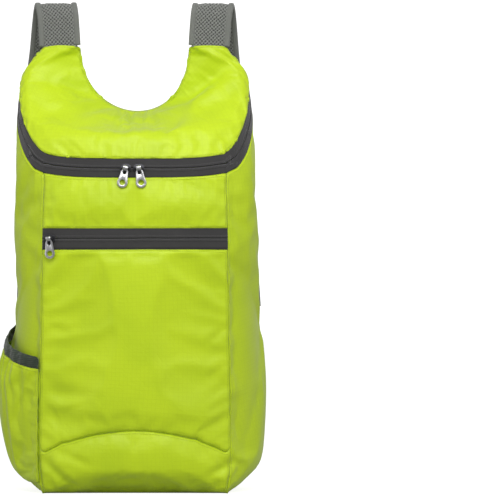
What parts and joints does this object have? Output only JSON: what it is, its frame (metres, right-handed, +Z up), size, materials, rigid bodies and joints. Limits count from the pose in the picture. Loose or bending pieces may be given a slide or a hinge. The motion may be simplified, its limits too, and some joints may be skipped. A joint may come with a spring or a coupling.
{
  "type": "packable backpack",
  "caption": "Frameless packable backpack with vest-shaped shoulders, a domed zipped lid, a zipped front pocket, a gathered side pocket and padded mesh straps, shown filled and standing.",
  "frame": {"origin": "middle of the footprint of the whole bag, on the floor it stands on", "axes": "+Z up, -Y towards the bag's front with the zips, +Y towards the wearer's back, -X to the side pocket"},
  "size_m": [0.2702, 0.146, 0.4996],
  "materials": {
    "ripstop": "lime green coated ripstop nylon with a soft sheen",
    "back_padding": "lime green padded ripstop back panel",
    "elastic": "grey ribbed elastic binding",
    "zip_tape": "dark grey woven zip tape, reverse coil",
    "slider": "dark grey enamelled zinc",
    "pull": "bright plated metal",
    "strap_mesh": "grey knitted spacer mesh with diamond holes",
    "strap_binding": "smooth grey woven binding",
    "webbing": "dark grey ribbed webbing",
    "adjuster": "black moulded plastic"
  },
  "bodies": {
    "pack": {"lid_panel": "ripstop", "front_panel": "ripstop", "pocket_panel": "ripstop", "base_panel": "ripstop", "gusset_left": "ripstop", "gusset_right": "ripstop", "side_pocket": "ripstop", "back_panel": "back_padding", "side_pocket_binding": "elastic", "main_zip_tape_upper": "zip_tape", "main_zip_tape_lower": "zip_tape", "pocket_zip_tape_upper": "zip_tape", "pocket_zip_tape_lower": "zip_tape", "main_left_slider": "slider", "main_right_slider": "slider", "pocket_slider": "slider", "strap_left": "strap_mesh", "strap_right": "strap_mesh", "strap_left_binding_inner": "strap_binding", "strap_left_binding_outer": "strap_binding", "strap_right_binding_inner": "strap_binding", "strap_right_binding_outer": "strap_binding", "webbing_left": "webbing", "webbing_right": "webbing", "adjuster_left": "adjuster", "adjuster_right": "adjuster"},
    "main_left_pull": {"main_left_pull": "pull"},
    "main_right_pull": {"main_right_pull": "pull"},
    "pocket_pull": {"pocket_pull": "pull"}
  },
  "joints": [
    {"name": "main_left_pull_swing", "type": "hinge", "parent": "pack", "child": "main_left_pull", "pos_m": [-0.00397, -0.07094, 0.32749], "axis": [-0.9999, 0.0144, 0], "range_deg": [0, 150]},
    {"name": "main_right_pull_swing", "type": "hinge", "parent": "pack", "child": "main_right_pull", "pos_m": [0.00913, -0.07098, 0.32749], "axis": [-1, -0.0054, 0], "range_deg": [0, 150]},
    {"name": "pocket_pull_swing", "type": "hinge", "parent": "pack", "child": "pocket_pull", "pos_m": [-0.08145, -0.06437, 0.25669], "axis": [-0.9651, 0.262, 0], "range_deg": [0, 150]}
  ]
}
